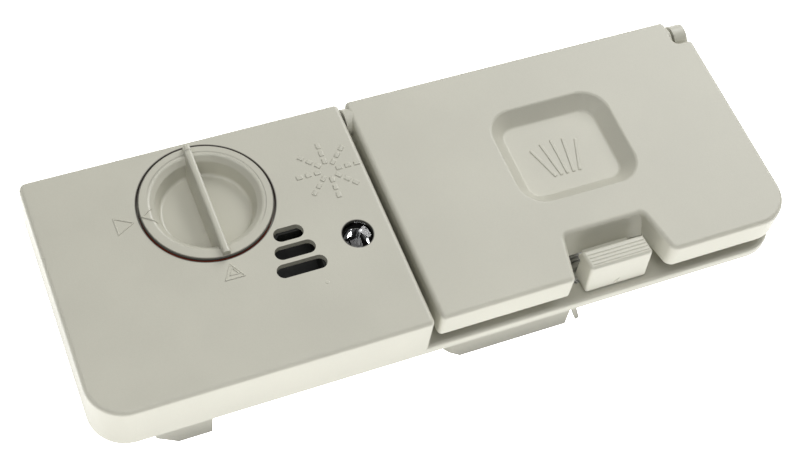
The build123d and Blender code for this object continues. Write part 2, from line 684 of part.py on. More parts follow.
def latch_head():
    """The thumb rest with its nose and grooves."""
    y0, y1 = FRONT + LATCH_FRONT, FRONT + LATCH_FRONT + LATCH_DEPTH
    top, low = TOP_Z - LATCH_TOP_DROP, PLATE_TOP + LATCH_LIFT
    nose_low = KEEPER_TOP + NOSE_LIFT
    inner, tip = y1 - NOSE_REACH, y1 + NOSE_REACH
    head = side_prism([(y0, low), (y0 + HEAD_LEAN, top), (y1, top - HEAD_LEAN), (y1, nose_low + NOSE_HEIGHT),
                       (tip, nose_low + NOSE_HEIGHT / 2), (tip, nose_low + NOSE_EASE),
                       (tip - NOSE_EASE, nose_low), (inner, nose_low), (inner, low)],
                      LATCH_X - LATCH_WIDTH / 2, LATCH_X + LATCH_WIDTH / 2)
    upright = [e for e in head.edges() if e.length > LATCH_DEPTH and e.center().Y < y0 + HEAD_LEAN
               and abs(e.center().X - LATCH_X) > LATCH_WIDTH / 4]
    head = fillet(upright, HEAD_SIDE)
    head = fillet(head.faces().sort_by(Axis.Z)[-1].edges(), HEAD_ROUND)
    for row in range(GROOVE_COUNT):
        y = y0 + GROOVE_START + row * GROOVE_PITCH
        z = top - HEAD_LEAN * (y - y0 - HEAD_LEAN) / (LATCH_DEPTH - HEAD_LEAN) + GROOVE_R / 2
        head -= rod_x(LATCH_X - LATCH_WIDTH / 2 + HEAD_ROUND, LATCH_X + LATCH_WIDTH / 2, y, z, GROOVE_R)
    return head


def latch():
    """Rocking catch: head, stem, barrel and the tail that the plunger pulls."""
    low = PLATE_TOP + LATCH_LIFT
    stem = block(LATCH_X - STEM_WIDTH / 2, LATCH_X + STEM_WIDTH / 2, PIVOT_Y - STEM_FRONT,
                 PIVOT_Y + STEM_BACK, PIVOT_Z, low + TAIL_THICK)
    barrel = rod_x(LATCH_X - STEM_WIDTH / 2, LATCH_X + STEM_WIDTH / 2, PIVOT_Y, PIVOT_Z, BARREL_R)
    half = TAIL_THICK / 2
    knee = PLUNGER_Z + TONGUE_HALF + TAIL_THICK
    foot = PLUNGER_Z - TONGUE_HALF
    tail = side_prism([(PIVOT_Y - half, PIVOT_Z), (TAIL_Y - half, knee), (TAIL_Y - half, foot),
                       (TAIL_Y + half, foot), (TAIL_Y + half, knee), (PIVOT_Y + half, PIVOT_Z)],
                      LATCH_X - TAIL_WIDTH / 2, LATCH_X + TAIL_WIDTH / 2)
    solid = latch_head() + stem + barrel + tail
    bore = rod_x(LATCH_X - STEM_WIDTH, LATCH_X + STEM_WIDTH, PIVOT_Y, PIVOT_Z, LATCH_PIN_R + PIN_PLAY)
    return solid - bore


def latch_pin():
    """Steel pivot of the latch."""
    reach = CHEEK_SPREAD + CHEEK_THICK
    return rod_x(LATCH_X - reach, LATCH_X + reach, PIVOT_Y, PIVOT_Z, LATCH_PIN_R)


def latch_spring():
    """Torsion spring beside the barrel: one leg up to the flange, one hooked in front of the stem."""
    x0 = LATCH_X - CHEEK_SPREAD + LATCH_WIRE
    x1 = x0 + LATCH_COIL
    wire = LATCH_WIRE / 2
    wound = coil(LATCH_COIL_R, LATCH_WIRE, LATCH_TURNS, LATCH_COIL)
    wound = Pos(x0, PIVOT_Y, PIVOT_Z) * Rot(0, 90, 0) * Rot(0, 0, 90) * wound
    fixed = rod_z(PIVOT_Z, PLATE_LOW - SOFT_GAP, (x0, PIVOT_Y + LATCH_COIL_R), wire)
    hook_z = SEAT_Z - LATCH_WIRE
    moving = rod_z(PIVOT_Z, hook_z, (x1, PIVOT_Y - LATCH_COIL_R), wire)
    hook = rod_x(x1, x1 + LATCH_LEG_HOOK, PIVOT_Y - LATCH_COIL_R, hook_z, wire)
    front, back = PIVOT_Y - LATCH_COIL_R, PIVOT_Y + LATCH_COIL_R
    bends = bead((x0, back, PIVOT_Z), LATCH_WIRE) + bead((x1, front, PIVOT_Z), LATCH_WIRE)
    bends += bead((x1, front, hook_z), LATCH_WIRE)
    return wound + bends + fixed + moving + hook


def rinse_cap():
    """Filler cap: rim, sunk bowl, plug with two lugs, and the grip bar across it."""
    floor = CAP_TOP - CAP_BOWL_DEPTH
    low = CAP_UNDER - CAP_PLUG_DEPTH
    under = floor - CAP_WALL
    points = [(0, floor), (CAP_FLOOR_R, floor), (CAP_BOWL_R, CAP_TOP - CAP_SHOULDER), (CAP_FLAT_R, CAP_TOP),
              (CAP_R - CAP_EDGE, CAP_TOP), (CAP_R, CAP_TOP - CAP_EDGE), (CAP_R, CAP_UNDER),
              (CAP_PLUG_R, CAP_UNDER), (CAP_PLUG_R, low), (CAP_PLUG_R - CAP_WALL, low),
              (CAP_PLUG_R - CAP_WALL, under), (0, under)]
    profile = outline(points, [0, CAP_ROUND, CAP_ROUND, CAP_ROUND] + [0] * 8)
    cap = revolve(Plane.XZ * profile, Axis.Z)
    top = TOP_Z + GRIP_PROUD
    bar = front_prism([(-GRIP_BASE / 2, floor - CAP_WALL / 2), (GRIP_BASE / 2, floor - CAP_WALL / 2),
                       (GRIP_TOP / 2, top), (-GRIP_TOP / 2, top)], -CAP_R, CAP_R)
    bar = fillet(bar.edges().filter_by(Axis.Y).group_by(Axis.Z)[-1], GRIP_TOP * 0.4)
    bar &= rod_z(CAP_UNDER, top, (0, 0), CAP_R - CAP_EDGE) + rod_z(under, top, (0, 0), CAP_PLUG_R)
    lugs = block(-LUG_OUT_R, LUG_OUT_R, -LUG_WIDE / 2, LUG_WIDE / 2, LEDGE_LOW - SOFT_GAP - LUG_THICK,
                 LEDGE_LOW - SOFT_GAP)
    lugs &= rod_z(0, TOP_Z, (0, 0), LUG_OUT_R)
    lugs -= rod_z(0, TOP_Z, (0, 0), CAP_PLUG_R - CAP_WALL)
    return Pos(CAP_AT[0], CAP_AT[1], 0) * (cap + bar + lugs)


def cap_seal():
    """Silicone ring under the rim of the cap."""
    return tube_z(CAP_UNDER - SEAL_THICK, CAP_UNDER, CAP_AT, LEDGE_R, CAP_R - GUIDE_PLAY)


def dose_dial():
    """Dosing selector: a disc with a finger slot and a stem through the bridge."""
    low = BRIDGE_TOP + GUIDE_PLAY
    disc = rod_z(low, low + DIAL_THICK, CAP_AT, DIAL_R)
    disc += rod_z(NECK_LOW - DIAL_THICK, low, CAP_AT, DIAL_STEM_R)
    slot = extrude(SlotOverall(DIAL_R, DIAL_THICK), amount=DIAL_THICK)
    return disc - Pos(CAP_AT[0], CAP_AT[1], low + DIAL_THICK / 2) * slot


def sight_lens():
    """Clear level indicator: domed head, stem and a prism tip in the liquid."""
    top, seat = TOP_Z - LENS_DOME, TOP_Z - LENS_SEAT
    stem = LENS_R - LENS_STEP
    low = TOP_Z - LENS_LENGTH
    turned = rod_z(seat, TOP_Z, LENS_AT, LENS_R) + rod_z(low + stem, seat, LENS_AT, stem)
    tip = Cone(GUIDE_PLAY, stem, stem, align=(Align.CENTER, Align.CENTER, Align.MIN))
    turned += Pos(LENS_AT[0], LENS_AT[1], low) * tip
    dome_r = (LENS_R ** 2 + LENS_DOME ** 2) / (2 * LENS_DOME)
    below = rod_z(low, top, LENS_AT, LENS_R)
    return turned & (below + Pos(LENS_AT[0], LENS_AT[1], TOP_Z - dome_r) * Sphere(dome_r))


def solenoid_frame():
    """Bent steel yoke: web under the cup with two ears, and two legs."""
    x0, x1 = LATCH_X - YOKE_WIDTH / 2, LATCH_X + YOKE_WIDTH / 2
    frame = block(x0, x1, YOKE_FRONT, YOKE_BACK, YOKE_TOP - YOKE_THICK, YOKE_TOP)
    low = PLUNGER_Z - COIL_R
    frame += block(x0, x1, YOKE_FRONT, YOKE_FRONT + YOKE_THICK, low, YOKE_TOP)
    frame += block(x0, x1, YOKE_BACK - YOKE_THICK, YOKE_BACK, low, YOKE_TOP)
    middle = (YOKE_FRONT + YOKE_BACK) / 2
    reach = SCREW_SPREAD + BOSS_R
    frame += block(LATCH_X - reach, LATCH_X + reach, middle - BOSS_R, middle + BOSS_R,
                   YOKE_TOP - YOKE_THICK, YOKE_TOP)
    for place in screw_places():
        frame -= rod_z(YOKE_TOP - YOKE_THICK, YOKE_TOP, place, SCREW_R + GUIDE_PLAY)
    return frame - rod_y(YOKE_FRONT, YOKE_FRONT + YOKE_THICK, LATCH_X, PLUNGER_Z, PLUNGER_R + SOFT_GAP)


def coil_bobbin():
    """Plastic spool between the legs of the yoke."""
    y0, y1 = YOKE_FRONT + YOKE_THICK, YOKE_BACK - YOKE_THICK
    spool = rod_y(y0, y1, LATCH_X, PLUNGER_Z, PLUNGER_R + SPOOL_WALL)
    spool += rod_y(y0, y0 + YOKE_THICK, LATCH_X, PLUNGER_Z, COIL_R)
    spool += rod_y(y1 - YOKE_THICK, y1, LATCH_X, PLUNGER_Z, COIL_R)
    return spool - rod_y(y0, y1, LATCH_X, PLUNGER_Z, PLUNGER_R + GUIDE_PLAY)


def coil_winding():
    """Copper winding on the spool."""
    y0, y1 = YOKE_FRONT + 2 * YOKE_THICK, YOKE_BACK - 2 * YOKE_THICK
    ring = rod_y(y0, y1, LATCH_X, PLUNGER_Z, COIL_R - GUIDE_PLAY)
    return ring - rod_y(y0, y1, LATCH_X, PLUNGER_Z, PLUNGER_R + SPOOL_WALL)


def plunger():
    """Soft-iron plunger with a collar and a slotted tongue round the tail of the latch."""
    bar = rod_y(COLLAR_Y, YOKE_BACK - PLUNGER_END, LATCH_X, PLUNGER_Z, PLUNGER_R)
    bar += rod_y(COLLAR_Y, COLLAR_Y + YOKE_THICK, LATCH_X, PLUNGER_Z, COLLAR_R)
    half_slot = TAIL_THICK / 2 + SLOT_PLAY
    side = TAIL_WIDTH / 2 + SLOT_PLAY
    half_high = TONGUE_HALF - SLOT_PLAY
    tongue = block(LATCH_X - side - YOKE_THICK, LATCH_X + side + YOKE_THICK, TAIL_Y - half_slot - YOKE_THICK,
                   COLLAR_Y + YOKE_THICK, PLUNGER_Z - half_high, PLUNGER_Z + half_high)
    tongue -= block(LATCH_X - side, LATCH_X + side, TAIL_Y - half_slot, TAIL_Y + half_slot, 0, 2 * PLUNGER_Z)
    return bar + tongue


def plunger_spring():
    """Return spring between the plunger's collar and the yoke."""
    y0 = COLLAR_Y + YOKE_THICK + PLUNGER_WIRE / 2 + GUIDE_PLAY
    length = YOKE_FRONT - PLUNGER_WIRE / 2 - GUIDE_PLAY - y0
    radius = PLUNGER_R + SOFT_GAP + PLUNGER_WIRE / 2
    return Pos(LATCH_X, y0, PLUNGER_Z) * Rot(-90, 0, 0) * coil(radius, PLUNGER_WIRE, PLUNGER_TURNS, length)


def coil_terminals():
    """Two blade terminals on the rear flange of the spool."""
    y1 = YOKE_BACK - YOKE_THICK - TAB_THICK / 2
    tabs = []
    for side in (-1, 1):
        z = PLUNGER_Z + side * (TAB_WIDTH / 2 + TAB_THICK)
        x0 = LATCH_X + COIL_R * 0.5
        tab = block(x0, LATCH_X + TAB_REACH, y1 - TAB_THICK, y1, z - TAB_WIDTH / 2, z + TAB_WIDTH / 2)
        tabs.append(tab - rod_y(y1 - YOKE_THICK, y1 + YOKE_THICK, LATCH_X, PLUNGER_Z, COIL_R + PIN_PLAY))
    return Compound(children=[solid for tab in tabs for solid in tab.solids()])


def solenoid_screws():
    """Two self-tapping screws through the ears of the yoke."""
    screws = []
    for place in screw_places():
        low = YOKE_TOP - YOKE_THICK
        screw = rod_z(low, low + SCREW_LENGTH, place, SCREW_R)
        screw += rod_z(low - HEAD_THICK, low, place, HEAD_R)
        screws.append(screw)
    return Compound(children=[solid for screw in screws for solid in screw.solids()])


PIECES = (housing, tank_cover, outlet_seal, door_gasket, lid, lid_gasket, hinge_rod, lid_spring, latch,
          latch_pin, latch_spring, rinse_cap, cap_seal, dose_dial, sight_lens, solenoid_frame, coil_bobbin,
          coil_winding, plunger, plunger_spring, coil_terminals, solenoid_screws)

os.makedirs("parts", exist_ok=True)
for make in PIECES:
    export_step(make(), f"parts/{make.__name__}.step")
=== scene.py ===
# %% [markdown]
# # A dishwasher's detergent dispenser
# The object is a grey plastic moulding that sits in a dishwasher's door. On the left is a panel with the
# rinse-aid filler cap, three outlet slots and a sight lens; on the right a sprung lid covers the
# detergent. The construction arrives as a frame of solid pieces. This lesson gives them their finishes,
# adds the small raised marks and the fine pieces, and sets up the lamps and the camera for its picture.
# All lengths are in metres, +Z is up.

# %% Load the frame
import json
import math

import bpy
import numpy as np
from mathutils import Matrix


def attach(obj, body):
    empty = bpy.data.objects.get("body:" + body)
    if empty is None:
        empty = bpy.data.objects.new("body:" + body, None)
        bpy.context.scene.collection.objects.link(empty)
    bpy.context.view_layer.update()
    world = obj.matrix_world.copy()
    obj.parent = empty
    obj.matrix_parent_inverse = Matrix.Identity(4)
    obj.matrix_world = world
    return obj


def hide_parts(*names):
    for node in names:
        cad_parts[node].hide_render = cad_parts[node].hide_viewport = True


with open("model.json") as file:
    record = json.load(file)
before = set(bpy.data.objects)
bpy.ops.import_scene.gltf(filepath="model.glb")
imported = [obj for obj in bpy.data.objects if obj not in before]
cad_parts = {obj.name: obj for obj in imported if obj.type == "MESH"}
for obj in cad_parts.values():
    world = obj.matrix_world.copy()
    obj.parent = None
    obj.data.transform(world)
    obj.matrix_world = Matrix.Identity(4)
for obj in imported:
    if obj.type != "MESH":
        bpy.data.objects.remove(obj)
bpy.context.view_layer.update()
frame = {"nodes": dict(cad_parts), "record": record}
MM = 0.001

# %% [markdown]
# ## Places taken from the frame
# Marks and finishes have to sit exactly on the pieces they belong to. Their places could be typed in
# again, but then they would drift off when a piece changes. So the boxes of the frame's pieces are
# measured here, and the places that the next steps need are worked out from them.

# %% Measure the pieces
def box_of(node_name):
    """The low and the high corner of a piece: the least and the greatest x, y and z of its points."""
    vertices = frame["nodes"][node_name].data.vertices
    places = np.empty(len(vertices) * 3, np.float32)
    vertices.foreach_get("co", places)
    places = places.reshape(-1, 3).astype(float)
    return places.min(axis=0), places.max(axis=0)


def middle_of(node_name):
    """The middle of a piece's box."""
    return np.mean(box_of(node_name), axis=0)


PANEL_TOP = box_of("housing")[1][2]
CAP_AT = middle_of("rinse_cap")[:2]
LENS_AT = middle_of("sight_lens")[:2]
SOLENOID_AT = middle_of("solenoid_frame")[:2]
print("panel at height", PANEL_TOP, "cap at", CAP_AT, "lens at", LENS_AT)

# %% [markdown]
# ## Writing shader maths as plain sums
# A finish is a sum of a few noises and masks. Wiring each Math node by hand hides that sum, so one small
# class wraps a socket and lets Python's own + - * ** build the nodes. Its `of` method makes any other
# kind of node: the settings are given first, then the values or links of the sockets.

# %% A socket that can be added and multiplied
class Flow:
    """One output socket of a node tree. Sums, differences, products and powers add Math nodes."""

    def __init__(self, tree, socket):
        self.tree = tree
        self.socket = socket

    def of(self, kind, settings=None, out=0, **inputs):
        """A node of any kind: its settings, then its sockets by name (spaces as _) or as i0, i1 and on."""
        node = self.tree.nodes.new(kind)
        for name, value in (settings or {}).items():
            setattr(node, name, value)
        for name, value in inputs.items():
            key = int(name[1:]) if name[1:].isdigit() else name.replace("_", " ")
            target = node.inputs[key]
            if isinstance(value, Flow):
                self.tree.links.new(value.socket, target)
            else:
                target.default_value = value
        return Flow(self.tree, node.outputs[out])

    def calc(self, operation, a, b=0.0):
        """One Math node."""
        return self.of("ShaderNodeMath", {"operation": operation}, i0=a, i1=b)

    def __add__(self, other):
        return self.calc("ADD", self, other)

    def __radd__(self, other):
        return self.calc("ADD", other, self)

    def __sub__(self, other):
        return self.calc("SUBTRACT", self, other)

    def __rsub__(self, other):
        return self.calc("SUBTRACT", other, self)

    def __mul__(self, other):
        return self.calc("MULTIPLY", self, other)

    def __pow__(self, other):
        return self.calc("POWER", self, other)

    def absolute(self):
        """This value without its sign."""
        return self.calc("ABSOLUTE", self)

    def step(self, low, high):
        """0 below low, 1 above high, smooth between."""
        return self.of("ShaderNodeMapRange", {"interpolation_type": "SMOOTHSTEP"},
                       Value=self, From_Min=low, From_Max=high)

    def tint(self, dark, light):
        """A colour between two colours, by this value. Sockets 6 and 7 of a Mix node are its colours."""
        return self.of("ShaderNodeMix", {"data_type": "RGBA"}, out=2,
                       i0=self, i6=(*dark, 1), i7=(*light, 1))

    def noise(self, scale, detail=2.0, stretch=(1, 1, 1)):
        """Noise on this vector, with the pattern pulled out along an axis if stretch says so."""
        place = self.of("ShaderNodeMapping", Vector=self, Scale=stretch)
        return self.of("ShaderNodeTexNoise", Vector=place, Scale=scale, Detail=detail)

    def part(self, index):
        """The x, y or z of this vector."""
        return self.of("ShaderNodeSeparateXYZ", out=index, Vector=self)


print("shader maths ready")

# %% [markdown]
# ## Empty finishes
# Every finish below starts the same way: a material with Blender's Principled shader, and the object's
# own coordinates, so that a pattern stays on its piece when the piece moves. At the end its colour, its
# gloss and its relief are linked to that shader. Two helpers do the start and the end.

# %% Start and end of a finish
def finish(name, metallic=0.0, transmission=0.0, ior=1.5):
    """An empty finish: its material, its shader node and the object's own coordinates."""
    made = bpy.data.materials.new(name)
    made.use_nodes = True
    shader = made.node_tree.nodes["Principled BSDF"]
    shader.inputs["Metallic"].default_value = metallic
    shader.inputs["Transmission Weight"].default_value = transmission
    shader.inputs["IOR"].default_value = ior
    place = made.node_tree.nodes.new("ShaderNodeTexCoord")
    return made, shader, Flow(made.node_tree, place.outputs["Object"])


def connect(shader, colour, rough, height=None, depth=0.0):
    """Give a shader its colour and roughness, each a value or a Flow, and a relief of the given depth."""
    for name, value in (("Base Color", colour), ("Roughness", rough)):
        if isinstance(value, Flow):
            value.tree.links.new(value.socket, shader.inputs[name])
        else:
            shader.inputs[name].default_value = value
    if height is not None:
        relief = height.of("ShaderNodeBump", Strength=1.0, Distance=depth, Height=height)
        relief.tree.links.new(relief.socket, shader.inputs["Normal"])


print("helpers for finishes ready")

# %% [markdown]
# ## Grey moulded plastic
# The front is satin polypropylene from a spark-eroded tool: one warm grey, a faint cloudiness where the
# melt flowed, and a grain of about a third of a millimetre. A flat colour would look like paint, so two
# noises move the colour and the gloss a little and a third one makes the grain. Round the cap and the
# lens the panel darkens where the distance from their axes equals the hole's radius: painted shade of the
# gap between the parts.

# %% Plastic finishes
CLOUD_SCALE = 28
SPECK_SCALE = 2600
GRAIN_SCALE = 3400
GRAIN_DEPTH = 0.02 * MM
CLOUDINESS = 0.086
LIGHTEST = 1.045
# Painted shade in the gaps round the cap and the lens: how far the colour drops there, and the widths of
# the dark ring.
GAP_SHADE_DROP = 0.75
GAP_SHADE_HALF, GAP_SHADE_ENDS = 0.1 * MM, 0.35 * MM
CAP_HOLE_R = 21.4 * MM
LENS_HOLE_R = 4.9 * MM
PANEL_SHADE = (0.530, 0.520, 0.440)
BLACK = (0, 0, 0)


def distance(place, at):
    """Distance of a shaded point from an upright axis: the root of the sum of the squares of x and y."""
    dx = place.part(0) - at[0]
    dy = place.part(1) - at[1]
    return (dx * dx + dy * dy) ** 0.5


def moulding(name, shade, rough=0.42, joints=()):
    """Satin plastic: colour = shade x 0.955 to 1.045, by a cloud with a fine speck in it. The gloss
    follows the cloud, and the relief is a fine noise. At each joint, an axis with a radius, the colour
    falls to a quarter within a tenth of a millimetre of that radius: painted shade of the gap there."""
    made, shader, place = finish(name)
    cloud = place.noise(CLOUD_SCALE, 3)
    speck = place.noise(SPECK_SCALE, 1)
    value = (cloud * 0.75 + speck * 0.25).step(0.25, 0.75) * CLOUDINESS + (1 - CLOUDINESS)
    # Painted shade: at each hole's edge the colour darkens to a quarter, standing in for the shade in the
    # gap round the cap and the lens.
    for at, radius in joints:
        unshaded = (distance(place, at) - radius).absolute().step(GAP_SHADE_HALF, GAP_SHADE_ENDS)
        value = value * (unshaded * GAP_SHADE_DROP + (1 - GAP_SHADE_DROP))
    colour = value.tint(BLACK, [channel * LIGHTEST for channel in shade])
    connect(shader, colour, rough - 0.05 + cloud * 0.1, place.noise(GRAIN_SCALE), GRAIN_DEPTH)
    return made


plastics = {
    "panel_plastic": dict(shade=PANEL_SHADE, joints=[(CAP_AT, CAP_HOLE_R), (LENS_AT, LENS_HOLE_R)]),
    "lid_plastic": dict(shade=(0.538, 0.528, 0.447), rough=0.46),
    "latch_plastic": dict(shade=(0.560, 0.550, 0.469)),
    "tank_plastic": dict(shade=(0.545, 0.535, 0.457), rough=0.5),
    "dial_plastic": dict(shade=(0.78, 0.78, 0.75), rough=0.35),
    "bobbin_plastic": dict(shade=(0.72, 0.71, 0.66), rough=0.5),
}
finishes = {name: moulding(name, **look) for name, look in plastics.items()}
print("plastics:", sorted(finishes))

# %% [markdown]
# ## The cap's rim
# The same plastic, but a fine groove runs round the back of the cap's flat rim. It is far too shallow to
# be worth geometry: the distance from the cap's axis, taken from the object coordinates, gives the groove
# as relief, and a tenth less colour in it as painted shade. The same distance darkens the rim's outer
# edge: painted shade of the gap between the cap and the panel.

# %% Cap plastic with its groove
GROOVE_R = 18.3 * MM
GROOVE_HALF = 0.25 * MM
GROOVE_DEPTH = 0.2 * MM
GROOVE_SIDE = (0.6, 0.8)
GROOVE_NONE, GROOVE_FULL = -6 * MM, 3 * MM
CAP_LIGHTEST = 1.05
# Painted shade of the gap round the cap: where the rim's edge darkens, and by how much.
EDGE_SHADE_FROM_R, EDGE_DARK_R = 20.35 * MM, 20.6 * MM
EDGE_SHADE_DROP = 0.8


def cap_moulding(name, shade):
    """Moulded grey with a ring groove: the relief falls where the distance from the axis is within half
    the groove's width of its radius, at the back only, and the colour there is a tenth darker as painted
    shade. The rim's outer edge darkens to a fifth: painted shade of the gap round the cap."""
    made, shader, place = finish(name)
    radius = distance(place, CAP_AT)
    dx = place.part(0) - CAP_AT[0]
    dy = place.part(1) - CAP_AT[1]
    front = 1 - (dx * GROOVE_SIDE[0] + dy * GROOVE_SIDE[1]).step(GROOVE_NONE, GROOVE_FULL)
    beside = (radius - GROOVE_R).absolute().step(GROOVE_HALF * 0.3, GROOVE_HALF)
    ring = place.calc("MAXIMUM", beside, front)
    cloud = place.noise(CLOUD_SCALE, 3)
    # Painted shade: the rim's outer edge darkens to a fifth, standing in for the shade in the gap round the
    # cap.
    unshaded = 1 - radius.step(EDGE_SHADE_FROM_R, EDGE_DARK_R) * EDGE_SHADE_DROP
    # Painted shade: the colour is a tenth darker in the groove.
    value = ((cloud * 0.5 + ring * 0.5) * 0.2 + 0.8) * unshaded
    colour = value.tint(BLACK, [channel * CAP_LIGHTEST for channel in shade])
    height = ring * 0.8 + place.noise(GRAIN_SCALE) * 0.1
    connect(shader, colour, 0.28 + cloud * 0.08, height, GROOVE_DEPTH)
    return made


finishes["cap_plastic"] = cap_moulding("cap_plastic", PANEL_SHADE)
print("cap groove at radius", GROOVE_R)

# %% [markdown]
# ## Rubber, steel, copper and the clear lens
# Rubber is dark and dull with a little bloom. Drawn steel shows streaks along the wire, so its noise is
# pulled out along one axis. Enamelled copper is a glossy red brown. The lens is clear: a transmitting
# shader with a faint smoky tint, which shows the dark tank below it as the real one does.

# %% Rubber, metals and lens
BLOOM_SCALE = 160
RUBBER_GRAIN = 1800
RUBBER_DEPTH = 0.03 * MM
STREAK_SCALE = 900
STREAK_DEPTH = 0.01 * MM
HAZE_SCALE = 300


def rubber(name, dark, light, rough):
    """Dull rubber: bloom is a soft noise between two shades."""
    made, shader, place = finish(name)
    bloom = place.noise(BLOOM_SCALE, 4)
    colour = bloom.step(0.3, 0.75).tint(dark, light)
    connect(shader, colour, rough - 0.06 + bloom * 0.12, place.noise(RUBBER_GRAIN), RUBBER_DEPTH)
    return made


def metal(name, dark, light, rough, stretch):
    """Drawn or rolled metal: a stretched noise gives the streaks in colour, gloss and relief."""
    made, shader, place = finish(name, metallic=1.0)
    streak = place.noise(STREAK_SCALE, 3, stretch)
    colour = streak.step(0.3, 0.7).tint(dark, light)
    connect(shader, colour, rough - 0.1 + streak * 0.2, streak, STREAK_DEPTH)
    return made


def clear(name, dark, light):
    """Clear plastic with a faint smoky cloud between two shades."""
    made, shader, place = finish(name, transmission=1.0, ior=1.52)
    haze = place.noise(HAZE_SCALE)
    connect(shader, haze.tint(dark, light), 0.02 + haze * 0.03)
    return made


others = {
    "gasket_rubber": (rubber, (0.008, 0.009, 0.008), (0.022, 0.024, 0.021), 0.68),
    "seal_silicone": (rubber, (0.42, 0.045, 0.015), (0.56, 0.085, 0.030), 0.5),
    "rod_steel": (metal, (0.50, 0.50, 0.49), (0.68, 0.68, 0.66), 0.3, (0.05, 1, 1)),
    "spring_steel": (metal, (0.42, 0.42, 0.42), (0.60, 0.60, 0.60), 0.34, (0.3, 1, 1)),
    "yoke_steel": (metal, (0.52, 0.53, 0.53), (0.70, 0.70, 0.67), 0.38, (1, 0.1, 1)),
    "winding_copper": (metal, (0.40, 0.13, 0.045), (0.58, 0.23, 0.09), 0.28, (1, 1, 0.2)),
    "terminal_brass": (metal, (0.62, 0.56, 0.40), (0.76, 0.72, 0.58), 0.3, (0.1, 1, 1)),
    "clear_plastic": (clear, (0.80, 0.83, 0.84), (0.93, 0.95, 0.95)),
}
for name, (make, *look) in others.items():
    finishes[name] = make(name, *look)
print("finishes:", len(finishes))

# %% [markdown]
# ## Dressing the frame
# The record says which finish each piece takes. Assigning them by hand would repeat that list, so the
# frame is dressed by reading it.

# %% Give every piece of the frame its finish
slot_of = {entry["node"]: entry["material_slot"] for entry in frame["record"]["subparts"]}
for node_name, piece in frame["nodes"].items():
    piece.data.materials.clear()
    piece.data.materials.append(finishes[slot_of[node_name]])
print("dressed:", len(slot_of))

# %% [markdown]
# ## From arrays to a mesh
# Every new piece below is a grid of points worked out with numpy, so the same two steps follow each time.
# The faces of a grid are found from the numbers of its rows and columns. Then points and faces become a
# mesh, which is dressed and told which moving body it rides on.

# %% Faces of a grid and a dressed surface
def grid_faces(rows, cols, count=1):
    """Quads of count separate rows x cols grids, numbered row by row, as one array."""
    r, c = np.meshgrid(np.arange(rows - 1), np.arange(cols - 1), indexing="ij")
    corner = (r * cols + c).ravel()
    quads = np.stack([corner, corner + 1, corner + cols + 1, corner + cols], axis=1)
    return (quads[None] + (np.arange(count) * rows * cols)[:, None, None]).reshape(-1, 4)


def surface(name, points, faces, body, slot):
    """A smooth mesh from arrays of points and quads, dressed, riding on a body."""
    mesh = bpy.data.meshes.new(name)
    mesh.from_pydata(points.reshape(-1, 3).tolist(), [], faces.tolist())
    mesh.validate()
    mesh.polygons.foreach_set("use_smooth", [True] * len(mesh.polygons))
    made = bpy.data.objects.new(name, mesh)
    bpy.context.scene.collection.objects.link(made)
    mesh.materials.append(finishes[slot])
    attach(made, body)
    return made


print("mesh helpers ready")

# %% [markdown]
# ## Raised marks
# The tool that moulds the panel is engraved, so its marks stand up from the plastic by a few tenths of a
# millimetre. A mark is made of low bars. Each bar is one surface: along it runs one parameter, across it
# the other, and its height is a flat top with a rounded shoulder. All bars of a mark are computed
# together.

# %% A function for low raised bars
BAR_ROWS, BAR_COLS = 24, 12
SHOULDER = 12
SINK = 0.15 * MM
RAISED = 0.26 * MM


def bars(starts, ends, width, height, level, square=2):
    """Low bars with round ends. Along u the plan is a stadium, whose ends get boxier as square grows;
    across v a point is offset by half the plan's width. Its height is level + height x (1 - rim^12),
    where rim grows from 0 in the middle to 1 at the edge, and the edge is sunk a little."""
    a, b = np.asarray(starts, float), np.asarray(ends, float)
    along = b - a
    length = np.linalg.norm(along, axis=1, keepdims=True)
    unit = along / length
    side = np.stack([-unit[:, 1], unit[:, 0]], axis=1)
    u = (1 - np.cos(np.linspace(0, math.pi, BAR_ROWS))) / 2
    v = np.sin(np.linspace(-math.pi / 2, math.pi / 2, BAR_COLS))
    s = u[None] * (length + width) - width / 2
    over = np.maximum(np.maximum(-s, s - length), 0) / (width / 2)
    half = width / 2 * np.maximum(1 - over ** square, 0) ** (1 / square)
    plan = (a[:, None, None] + s[:, :, None, None] * unit[:, None, None]
            + (half[:, :, None] * v)[..., None] * side[:, None, None])
    rim = np.maximum(np.abs(v)[None, None], over[..., None])
    z = level - SINK + (height + SINK) * (1 - rim ** SHOULDER)
    points = np.concatenate([plan, z[..., None]], axis=3)
    return points, grid_faces(BAR_ROWS, BAR_COLS, len(a))


print("points of a bar:", BAR_ROWS * BAR_COLS)

# %% [markdown]
# ## The rinse-aid star
# Rinse aid is marked by a star of eight arms, each of three short dashes. Placing 24 dashes by hand would
# be slow and uneven, so one array of angles and one of distances give them all.

# %% Star of dashes
STAR_AT = np.array([-22.7, 18.8]) * MM
STAR_ARMS = 8
DASHES_AT = np.array([3.6, 6.6, 9.6]) * MM
DASH_WIDTH = 1.7 * MM
DASH_HALF = 0.25 * MM

turn = np.repeat(np.arange(STAR_ARMS) * 2 * math.pi / STAR_ARMS, len(DASHES_AT))
middle = np.tile(DASHES_AT, STAR_ARMS)[:, None]
ray = np.stack([np.cos(turn), np.sin(turn)], axis=1)
inner_ends = STAR_AT + ray * (middle - DASH_HALF)
outer_ends = STAR_AT + ray * (middle + DASH_HALF)
star_points, star_faces = bars(inner_ends, outer_ends, DASH_WIDTH, RAISED, PANEL_TOP, square=5)
surface("star_mark", star_points, star_faces, "body", "panel_plastic")
print("star dashes:", len(turn))

# %% [markdown]
# ## Open and shut marks
# Two triangles on the panel, one with a small one inside it, and a chevron on the cap show where the cap
# locks. Their outlines are thin bars laid from corner to corner. The chevron crosses the inner edge of
# the cap's flat rim, so its points are let down there: they follow the rim's slope into the bowl.

